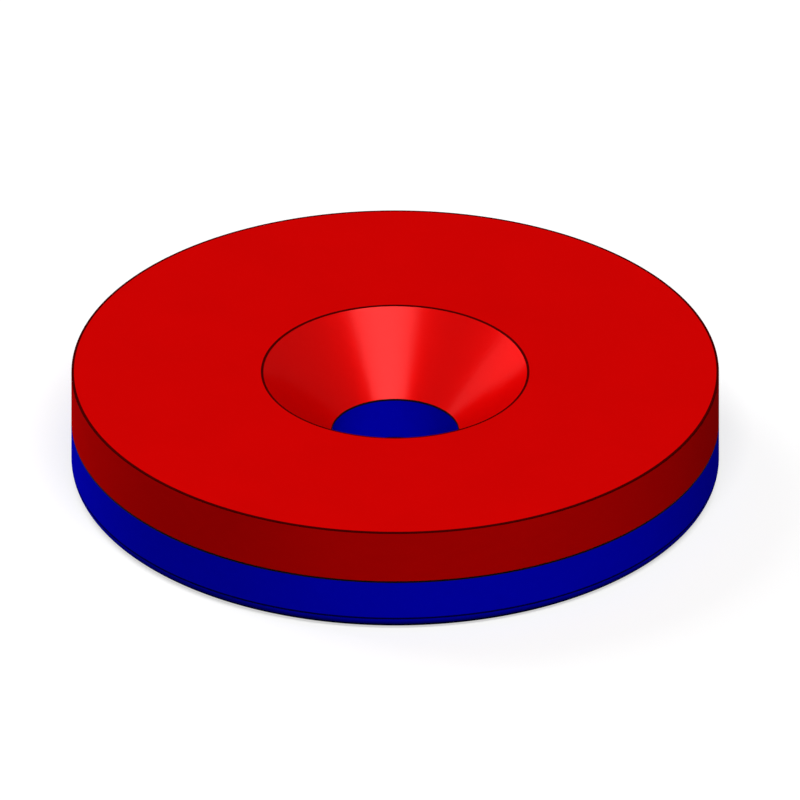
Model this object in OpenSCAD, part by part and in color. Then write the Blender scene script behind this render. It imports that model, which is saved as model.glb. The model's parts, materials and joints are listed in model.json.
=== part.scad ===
// Countersunk magnet: a flat disc with a screw hole through its middle, pressed and
// sintered as one piece, so it is one solid. It lies on its back face, and the
// countersink opens upwards. The origin is the centre of the back face, and +Z runs
// up the axis of the hole. Sizes are in millimetres.

/* [Disc] */
// Outer diameter
disc_d = 23; // [16:0.5:60]
// Thickness, from the back face to the front face
disc_t = 4; // [3.2:0.1:12]
// Radius of the round on the outer edge of the back face
back_edge_r = 0.5; // [0.1:0.05:1.5]

/* [Screw hole] */
// Diameter of the straight hole, a clearance hole for an M4 screw
hole_d = 4.5; // [3:0.1:7]
// Diameter of the countersink where it meets the front face
sink_d = 9.4; // [7.5:0.1:11]
// Angle of the countersink, from wall to wall
sink_angle = 90; // [80:1:120]

/* [Hidden] */
$fn = 180;

disc_r = disc_d / 2;
hole_r = hole_d / 2;
sink_r = sink_d / 2;
sink_slope = tan(sink_angle / 2); // how much the cone widens for each millimetre of height
sink_depth = (sink_r - hole_r) / sink_slope;
hole_wall_h = disc_t - sink_depth; // height at which the straight wall meets the cone
pole_line_h = disc_t / 2; // the two poles share the thickness equally
overcut = 1; // how far a cutting shape reaches past the face that it opens

north_red = [0.78, 0, 0];
south_blue = [0, 0, 0.59];

// Half of the disc's section, with the round at the foot of the rim
module disc_section() {
    square([disc_r - back_edge_r, disc_t]);
    translate([0, back_edge_r])
        square([disc_r, disc_t - back_edge_r]);
    translate([disc_r - back_edge_r, back_edge_r])
        circle(r = back_edge_r);
}

// Half of the screw hole's section: the straight hole, and the cone above it
module screw_hole_section() {
    translate([0, -overcut])
        square([hole_r, disc_t + 2 * overcut]);
    polygon([
        [0, hole_wall_h],
        [hole_r, hole_wall_h],
        [sink_r + overcut * sink_slope, disc_t + overcut],
        [0, disc_t + overcut]
    ]);
}

// Everything above the line that parts the two colours. The line runs inside the
// material, from the foot of the cone to the rim, so that the front face and the
// cone are red, and the straight hole and the back face are blue.
module north_section() {
    polygon([
        [0, hole_wall_h],
        [hole_r, hole_wall_h],
        [disc_r, pole_line_h],
        [disc_r + overcut, pole_line_h],
        [disc_r + overcut, disc_t + overcut],
        [0, disc_t + overcut]
    ]);
}

module magnet_section() {
    difference() {
        disc_section();
        screw_hole_section();
    }
}

// The whole magnet, one solid in two colours
module magnet() {
    color(north_red)
        rotate_extrude()
            intersection() {
                magnet_section();
                north_section();
            }
    color(south_blue)
        rotate_extrude()
            difference() {
                magnet_section();
                north_section();
            }
}

magnet();
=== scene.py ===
"""Countersunk magnet: one turned piece in red and blue lacquer, on a pale floor in soft light."""

import json
import math

import bmesh
import bpy
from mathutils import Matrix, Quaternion, Vector


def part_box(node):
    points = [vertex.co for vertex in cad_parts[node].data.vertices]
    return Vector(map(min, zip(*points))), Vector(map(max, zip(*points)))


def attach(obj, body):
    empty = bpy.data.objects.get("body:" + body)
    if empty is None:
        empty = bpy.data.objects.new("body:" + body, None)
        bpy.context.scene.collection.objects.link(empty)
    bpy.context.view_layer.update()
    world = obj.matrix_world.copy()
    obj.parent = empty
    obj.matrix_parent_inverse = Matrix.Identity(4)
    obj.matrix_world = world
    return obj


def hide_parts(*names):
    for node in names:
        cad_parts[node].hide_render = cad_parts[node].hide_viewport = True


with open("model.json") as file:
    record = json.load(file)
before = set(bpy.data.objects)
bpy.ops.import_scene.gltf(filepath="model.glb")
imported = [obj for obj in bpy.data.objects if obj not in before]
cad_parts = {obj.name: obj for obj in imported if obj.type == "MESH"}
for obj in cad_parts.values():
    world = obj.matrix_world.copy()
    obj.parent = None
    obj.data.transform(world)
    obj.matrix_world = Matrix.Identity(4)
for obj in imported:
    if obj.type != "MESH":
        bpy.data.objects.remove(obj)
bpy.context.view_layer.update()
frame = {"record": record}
MM = 0.001

# The magnet, in millimetres
disc_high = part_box("magnet")[1]
disc_r = disc_high.x / MM
disc_t = disc_high.z / MM
screw_hole = next(mount for mount in frame["record"]["mounts"] if mount["name"] == "screw_hole")
hole_r = screw_hole["dims"]["r_mm"]
hole_wall = screw_hole["dims"]["length_mm"]  # from the back face up to the foot of the countersink
SINK_HALF_ANGLE = math.radians(45)  # from the axis of the hole to the cone
BACK_ROUND = 0.5  # radius at the foot of the rim
CORNER_ROUND = 0.015  # radius of the front rim and of the foot of the cone

# Where the lacquer thins out over a corner and the dark magnet shows through it, and where the foot of
# the round is darkened as painted shade, in millimetres
RIM_THIN = (0.092, 0.040)  # in from the front rim, and down from it
SINK_THIN = (0.070, 0.026)  # out from the countersink, and down its cone
HOLE_FOOT_THIN = (0.032, 0.055)  # up the hole from the back face, and out along the back face
ROUND_THIN = 0.03  # up the rim from the round, and the first step of the round is thin too
FOOT_SHADE_FROM = math.radians(31.5)  # down the round, below which it is darkened: painted shade where the magnet meets the floor

# Where the magnet is bare between the two lacquers, in millimetres
HOLE_BARE = (0.038, 0.040)  # up the cone from the straight hole, and down the hole
POLE_BARE = (0.026, 0.054)  # up and down the rim from its middle
GROOVE_DEPTH = 0.012  # of the bare line on the rim
GROOVE_SLOPE = 0.010  # width of each of its two sides
CORNER_REACH = 0.12  # everything this near to a corner is thin or bare

# The mesh and its unrolled sheet, in millimetres
TURN_STEPS = 288  # faces round the magnet
ROUND_STEPS = 20  # faces round its foot, from the rim to the back
CORNER_STEPS = 3
SAME_POINT = 0.0005  # vertices this near to each other become one
SAME_RING = 0.001  # vertices of one ring lie this near to each other on the section
LEAST_BAND = 0.25  # width that the narrowest band is given on the sheet
SHEET_MARGIN = 0.003  # of the sheet's side

NORTH_RED = (0.596, 0.0006, 0.0004)
SOUTH_BLUE = (0.0004, 0.0006, 0.63)
THIN_AND_SHADE_SHARE = 0.10  # of the full colour, where the lacquer is thin, and in the painted shade at the foot of the round
BARE_DARK = (0.004, 0.0026, 0.0032)
WHITE = (1, 1, 1)

# The gloss of the lacquer: its Roughness, Metallic, Coat Weight and Coat Roughness
FRESH = (0.42, 0.28, 0.008, 0.20)  # in the countersink, which nothing touches
RUBBED = (0.52, 0.04, 0.002, 0.34)  # on the faces that are handled
EDGE_HUE = 0.5  # how bright the hue of the gloss is, where it is seen at a slant
COAT_IOR = 4.0  # so high that the coat shines alike from all sides

# The surface of the lacquer, its sizes in millimetres
DRIFT_SIZE = 2.6  # of its drift of tone
TONE_DRIFT = 0.045  # how much lighter or darker the tone gets
PEEL_SIZE = 0.42  # of its orange peel
PEEL_DEPTH = 0.015
PEEL_STRENGTH = 0.6
GRAIN_SIZE = 0.09  # of the finer grain on it
GRAIN_SHARE = 0.12  # of the depth of the peel
GRAIN_ROUGHNESS = 0.05  # what the grain adds to the roughness

# The surface of the bare magnet, its sizes in millimetres
BARE_PATCH_SIZE = 0.8
BARE_TONES = (0.6, 1.6)  # the darkest and the lightest patch
BARE_GRAIN_SIZE = 0.05
BARE_GRAIN_DEPTH = 0.004
BARE_GRAIN_STRENGTH = 0.4
BARE_ROUGHNESS = 0.6
BARE_GRAIN_ROUGHNESS = 0.2  # what the grain adds to it
BARE_GLOSS = 0.02  # its specular level

# The photograph's frame, seen in parallel
FRAME_PX = 800  # its width and its height
PX_PER_MM = 28.16
FRONT_CENTRE_PX = (395.17, 371.6)  # the centre of the front face
VIEW_ELEVATION = math.radians(29.9)
CAMERA_AWAY = 200  # mm
CAMERA_SEES = (1, 1000)  # mm, from the nearest to the farthest

LAMP_AWAY = 600  # mm
FLOOR_SIDE = 180  # mm, and the room beyond it is as white
FLOOR_SEEN = 0.48  # how pale the floor is where it is seen, under the lamps
FLOOR_GLOW = 0.6  # and what it shows of itself there, also in a shadow
FLOOR_BOUNCE = 0.06  # how pale it is for the light that it throws back on the magnet
ROOM_LIGHT = 0.055  # what the room adds to the light of the lamps

# The corners of the magnet's section: their distance from its axis, and their height
hole_foot = Vector((hole_r, 0))
hole_top = Vector((hole_r, hole_wall))
sink_rim = Vector((hole_r + (disc_t - hole_wall) * math.tan(SINK_HALF_ANGLE), disc_t))
front_rim = Vector((disc_r, disc_t))
back_rim = Vector((disc_r, 0))

# Heights on the rim: the two sides of the bare line, the lower end of the first step of the round, and
# the place below which the round is darkened as painted shade
pole_low = disc_t / 2 - POLE_BARE[1]
pole_high = disc_t / 2 + POLE_BARE[0]
first_step_low = BACK_ROUND * (1 - math.sin(math.pi / 2 / ROUND_STEPS))
foot_shade_high = BACK_ROUND * (1 - math.sin(FOOT_SHADE_FROM))

# The thin blue slot also carries the painted shade along the foot of the round
RED, SINK_RED, BLUE, THIN_RED, THIN_BLUE_AND_FOOT_SHADE, BARE = range(6)  # the material slots of the magnet


class Socket:
    """A socket's output in a shader. Sums and products of sockets and numbers add Math nodes."""

    def __init__(self, shader, link):
        self.shader = shader
        self.link = link

    def __add__(self, other):
        return self.shader.node("Math", {"operation": "ADD"}, {0: self, 1: other})

    def __mul__(self, other):
        return self.shader.node("Math", {"operation": "MULTIPLY"}, {0: self, 1: other})

    __radd__ = __add__
    __rmul__ = __mul__


class Shader:
    """The node tree of a material or the world, built up by node()."""

    def __init__(self, owner):
        owner.use_nodes = True
        owner.node_tree.nodes.clear()
        self.tree = owner.node_tree

    def node(self, kind, settings=None, sockets=None, out=0):
        """Adds a node, sets it up, fills its sockets with values or links, and gives one output."""
        made = self.tree.nodes.new("ShaderNode" + kind)
        for name, value in (settings or {}).items():
            setattr(made, name, value)
        for name, value in (sockets or {}).items():
            if isinstance(value, Socket):
                self.tree.links.new(value.link, made.inputs[name])
            else:
                made.inputs[name].default_value = value
        return Socket(self, made.outputs[out]) if made.outputs else None

    def noise(self, size, detail):
        """Noise from 0 to 1, fixed to the piece, with features of that size in millimetres."""
        place = self.node("TexCoord", out="Object")
        scale = 1 / (size * MM)
        return self.node("TexNoise", sockets={"Vector": place, "Scale": scale, "Detail": detail})

    def blend(self, share, first, second):
        """A colour between two colours."""
        return self.node("Mix", {"data_type": "RGBA"}, {0: share, 6: first, 7: second}, out=2)

    def relief(self, height, depth, strength):
        """The surface direction of a relief of that depth in millimetres."""
        depth *= MM
        return self.node("Bump", sockets={"Height": height, "Distance": depth, "Strength": strength})


def toned(colour, share):
    """An opaque colour, that much lighter or darker."""
    return tuple(part * share for part in colour) + (1,)


def lacquer(name, colour, gloss, cover=1.0):
    """Satin lacquer: a clean, deep colour with a faint drift of tone, a fine orange peel and a gloss
    of its hue. cover is how much of the colour is left where the dark magnet shows through, and in the
    painted shade at the foot of the round."""
    roughness, metallic, coat, coat_roughness = gloss
    material = bpy.data.materials.new(name)
    shader = Shader(material)
    drift = shader.noise(DRIFT_SIZE, detail=2)
    peel = shader.noise(PEEL_SIZE, detail=1)
    grain = shader.noise(GRAIN_SIZE, detail=2)
    darkest = toned(colour, (1 - TONE_DRIFT) * cover)
    lightest = toned(colour, (1 + TONE_DRIFT) * cover)
    surface = shader.node(
        "BsdfPrincipled",
        sockets={
            "Base Color": shader.blend(drift, darkest, lightest),
            "Roughness": grain * GRAIN_ROUGHNESS + roughness,
            "Metallic": metallic,
            "Specular IOR Level": 0.0,
            "Specular Tint": toned(colour, EDGE_HUE / max(colour)),
            "Coat Weight": coat,
            "Coat Roughness": coat_roughness,
            "Coat IOR": COAT_IOR,
            "Normal": shader.relief(peel + grain * GRAIN_SHARE, PEEL_DEPTH, PEEL_STRENGTH),
        },
    )
    shader.node("OutputMaterial", sockets={"Surface": surface})
    return material


def bare_magnet(name):
    """The dark sintered magnet, where the two lacquers don't quite meet."""
    material = bpy.data.materials.new(name)
    shader = Shader(material)
    patch = shader.noise(BARE_PATCH_SIZE, detail=2)
    grain = shader.noise(BARE_GRAIN_SIZE, detail=3)
    darkest, lightest = (toned(BARE_DARK, tone) for tone in BARE_TONES)
    surface = shader.node(
        "BsdfPrincipled",
        sockets={
            "Base Color": shader.blend(patch, darkest, lightest),
            "Roughness": grain * BARE_GRAIN_ROUGHNESS + BARE_ROUGHNESS,
            "Specular IOR Level": BARE_GLOSS,
            "Normal": shader.relief(grain, BARE_GRAIN_DEPTH, BARE_GRAIN_STRENGTH),
        },
    )
    shader.node("OutputMaterial", sockets={"Surface": surface})
    return material


def piece_of(bm, name):
    """An object in the scene, made of the mesh."""
    mesh = bpy.data.meshes.new(name)
    bm.to_mesh(mesh)
    bm.free()
    piece = bpy.data.objects.new(name, mesh)
    bpy.context.collection.objects.link(piece)
    return piece


def section_place(point):
    """Distance from the axis and height of a point, in millimetres."""
    return Vector((math.hypot(point.x, point.y) / MM, point.z / MM))


def along(start, end, distance):
    """The place at that distance from start, on the way to end."""
    return start + (end - start).normalized() * distance


def outline():
    """The magnet's section, from the foot of the hole out along the back, up the rim and back down the
    hole. Besides its corners, it has a place wherever a finish ends."""
    return [
        hole_foot,
        along(hole_foot, back_rim, HOLE_FOOT_THIN[1]),
        back_rim,
        Vector((disc_r, BACK_ROUND + ROUND_THIN)),
        Vector((disc_r, pole_low)),
        Vector((disc_r, pole_high)),
        along(front_rim, back_rim, RIM_THIN[1]),
        front_rim,
        along(front_rim, sink_rim, RIM_THIN[0]),
        along(sink_rim, front_rim, SINK_THIN[0]),
        sink_rim,
        along(sink_rim, hole_top, SINK_THIN[1]),
        along(hole_top, sink_rim, HOLE_BARE[0]),
        hole_top,
        along(hole_top, hole_foot, HOLE_BARE[1]),
        along(hole_foot, hole_top, HOLE_FOOT_THIN[0]),
    ]


def turned_magnet():
    """The section, turned once round the axis."""
    bm = bmesh.new()
    verts = [bm.verts.new((place.x * MM, 0, place.y * MM)) for place in outline()]
    edges = [bm.edges.new((verts[i - 1], verts[i])) for i in range(len(verts))]
    bmesh.ops.spin(
        bm,
        geom=verts + edges,
        cent=(0, 0, 0),
        axis=(0, 0, 1),
        angle=math.tau,
        steps=TURN_STEPS,
        use_merge=True,
    )
    bmesh.ops.remove_doubles(bm, verts=bm.verts, dist=SAME_POINT * MM)
    bmesh.ops.recalc_face_normals(bm, faces=bm.faces)
    return bm


def round_corner(bm, corner, radius, steps):
    """Rounds the ring at a corner of the section."""

    def on_corner(vert):
        return (section_place(vert.co) - corner).length < SAME_RING

    bmesh.ops.bevel(
        bm,
        geom=[edge for edge in bm.edges if all(on_corner(vert) for vert in edge.verts)],
        affect="EDGES",
        offset=radius * MM,
        segments=steps,
        profile=0.5,
        material=-1,
    )


def slot_at(place):
    """The slot of the lacquer or the bare magnet at a place on the section."""

    def near(corner):
        return (place - corner).length < CORNER_REACH

    on_rim = place.x > disc_r - BACK_ROUND
    if near(hole_top) or (on_rim and pole_low < place.y < pole_high):
        return BARE
    if near(sink_rim) or near(front_rim):
        return THIN_RED
    on_round_line = first_step_low < place.y < BACK_ROUND + ROUND_THIN
    # Low on the round, the thin blue is painted shade where the magnet meets the floor
    if near(hole_foot) or (on_rim and (on_round_line or place.y < foot_shade_high)):
        return THIN_BLUE_AND_FOOT_SHADE
    in_hole = place.x < hole_r + CORNER_ROUND
    on_back = place.y < CORNER_ROUND
    if in_hole or on_back or (on_rim and place.y < pole_low):
        return BLUE
    return SINK_RED if place.x < sink_rim.x else RED


def sink_pole_line(bm):
    """Presses the bare line on the rim in, as a groove."""

    def on_pole_line(face):
        return face.material_index == BARE and pole_low < face.calc_center_median().z / MM < pole_high

    bmesh.ops.inset_region(
        bm,
        faces=[face for face in bm.faces if on_pole_line(face)],
        thickness=GROOVE_SLOPE * MM,
        depth=-GROOVE_DEPTH * MM,
        use_even_offset=True,
    )


def unroll(bm):
    """Lays the surface flat: across the sheet once round the magnet, and up it once round the section.
    Narrow bands are widened, so that a pattern drawn on the sheet holds them."""
    sheet = bm.loops.layers.uv.new("OFBake")
    middle = (hole_foot + front_rim) / 2

    def heading(vert):
        from_middle = section_place(vert.co) - middle
        return math.atan2(from_middle.y, from_middle.x)

    in_order = sorted(bm.verts, key=heading)
    first = last = section_place(in_order[0].co)
    heights = [0]  # of the rings of vertices, up the sheet
    ring_of = {}
    for vert in in_order:
        place = section_place(vert.co)
        step = (place - last).length
        if step > SAME_RING:
            heights.append(heights[-1] + max(step, LEAST_BAND))
            last = place
        ring_of[vert] = len(heights) - 1
    top = heights[-1] + max((first - last).length, LEAST_BAND)

    for face in bm.faces:
        rings = [ring_of[vert] for vert in face.verts]
        closing = max(rings) - min(rings) > 1  # it lies between the last ring and the first
        centre = face.calc_center_median()
        turn = math.atan2(centre.x, -centre.y)
        for loop in face.loops:
            corner = loop.vert.co
            swing = math.remainder(math.atan2(corner.x, -corner.y) - turn, math.tau)
            height = top if closing and ring_of[loop.vert] == 0 else heights[ring_of[loop.vert]]
            across_up = Vector((0.5 + (turn + swing) / math.tau, height / top))
            margin = Vector((SHEET_MARGIN, SHEET_MARGIN))
            loop[sheet].uv = across_up * (1 - 2 * SHEET_MARGIN) + margin


def magnet_piece():
    """The whole magnet, with its corners rounded and a bare line between its two poles."""
    bm = turned_magnet()
    round_corner(bm, back_rim, BACK_ROUND, ROUND_STEPS)
    round_corner(bm, front_rim, CORNER_ROUND, CORNER_STEPS)
    round_corner(bm, hole_top, CORNER_ROUND, CORNER_STEPS)
    for face in bm.faces:
        face.smooth = True
        face.material_index = slot_at(section_place(face.calc_center_median()))
    sink_pole_line(bm)
    for edge in bm.edges:
        if len({face.material_index for face in edge.link_faces}) > 1:
            edge.smooth = False
    unroll(bm)
    return piece_of(bm, "lacquered_magnet")


def camera():
    """A parallel view with the front face where the photograph has it."""
    data = bpy.data.cameras.new("camera")
    data.type = "ORTHO"
    data.ortho_scale = FRAME_PX / PX_PER_MM * MM
    data.clip_start = CAMERA_SEES[0] * MM
    data.clip_end = CAMERA_SEES[1] * MM
    view = bpy.data.objects.new("camera", data)
    view.rotation_euler = (math.pi / 2 - VIEW_ELEVATION, 0, 0)
    right = Vector((1, 0, 0))
    up = Vector((0, math.sin(VIEW_ELEVATION), math.cos(VIEW_ELEVATION)))
    back = right.cross(up)
    across_px = FRAME_PX / 2 - FRONT_CENTRE_PX[0]
    down_px = FRAME_PX / 2 - FRONT_CENTRE_PX[1]
    front_centre = Vector((0, 0, disc_t))
    aim = front_centre + (right * across_px - up * down_px) / PX_PER_MM
    view.location = (aim + back * CAMERA_AWAY) * MM
    bpy.context.collection.objects.link(view)
    bpy.context.scene.camera = view


def lamp(name, azimuth, elevation, width, height, share, lean=0):
    """A soft box that faces the magnet, its sides in millimetres and its angles in degrees. share is the
    part that it adds to a surface facing it, where 1 shows a colour as it is written. lean turns it in
    its own plane."""
    data = bpy.data.lights.new(name, "AREA")
    data.shape = "RECTANGLE"
    data.size = width * MM
    data.size_y = height * MM
    data.energy = share * (math.pi * LAMP_AWAY * MM) ** 2
    azimuth, elevation = math.radians(azimuth), math.radians(elevation)
    level = math.cos(elevation)
    toward = Vector((math.cos(azimuth) * level, math.sin(azimuth) * level, math.sin(elevation)))
    held = bpy.data.objects.new(name, data)
    held.location = (toward * LAMP_AWAY + Vector((0, 0, disc_t / 2))) * MM
    facing = toward.to_track_quat("Z", "Y") @ Quaternion((0, 0, 1), math.radians(lean))
    held.rotation_euler = facing.to_euler()
    bpy.context.collection.objects.link(held)


def seen_directly(shader):
    """1 for a ray that shows the background: from the camera, a reflection or through glass."""
    camera_ray = shader.node("LightPath", out="Is Camera Ray")
    glossy_ray = shader.node("LightPath", out="Is Glossy Ray")
    clear_ray = shader.node("LightPath", out="Is Transmission Ray")
    clamped_sum = {"operation": "ADD", "use_clamp": True}
    return shader.node("Math", clamped_sum, {0: camera_ray + glossy_ray, 1: clear_ray})


def pale_floor():
    """A white floor with the magnet's soft shadow. It throws back less light than it shows."""
    bm = bmesh.new()
    bmesh.ops.create_grid(bm, x_segments=1, y_segments=1, size=FLOOR_SIDE / 2 * MM)
    floor = piece_of(bm, "floor")
    material = bpy.data.materials.new("pale_floor")
    shader = Shader(material)
    seen = seen_directly(shader)
    colour = shader.blend(seen, toned(WHITE, FLOOR_BOUNCE), toned(WHITE, FLOOR_SEEN))
    lit = shader.node("BsdfDiffuse", sockets={"Color": colour})
    glow = shader.node("Emission", sockets={"Strength": seen * FLOOR_GLOW})
    surface = shader.node("AddShader", sockets={0: lit, 1: glow})
    shader.node("OutputMaterial", sockets={"Surface": surface})
    floor.data.materials.append(material)


def soft_surroundings():
    """An even, pale room, white where it is seen."""
    world = bpy.data.worlds.new("room")
    bpy.context.scene.world = world
    shader = Shader(world)
    strength = seen_directly(shader) * (1 - ROOM_LIGHT) + ROOM_LIGHT
    light = shader.node("Background", sockets={"Color": toned(WHITE, 1), "Strength": strength})
    shader.node("OutputWorld", sockets={"Surface": light})


camera()

# A thin, wide strip in front, which the countersink mirrors as its broad highlight
lamp("front_lamp", azimuth=-76.5, elevation=58.5, width=460, height=75, share=0.83, lean=-6)

# A tall one at the back, which shines over the rim of the countersink down to its foot
lamp("back_lamp", azimuth=142.5, elevation=24.5, width=340, height=660, share=0.84)

# A faint one for the side that the other two leave dark
lamp("fill_lamp", azimuth=73, elevation=8, width=400, height=400, share=0.12)

pale_floor()
soft_surroundings()

magnet = magnet_piece()
magnet.data.materials.append(lacquer("north_red", NORTH_RED, RUBBED))
magnet.data.materials.append(lacquer("countersink_red", NORTH_RED, FRESH))
magnet.data.materials.append(lacquer("south_blue", SOUTH_BLUE, RUBBED))
magnet.data.materials.append(lacquer("thin_north_red", NORTH_RED, RUBBED, THIN_AND_SHADE_SHARE))
# The thin blue, which also paints the shade along the foot of the round
magnet.data.materials.append(lacquer("thin_south_blue_and_foot_shade", SOUTH_BLUE, RUBBED, THIN_AND_SHADE_SHARE))
magnet.data.materials.append(bare_magnet("bare_magnet"))
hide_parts("magnet")
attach(magnet, "root")

bpy.context.scene.view_settings.view_transform = "Standard"
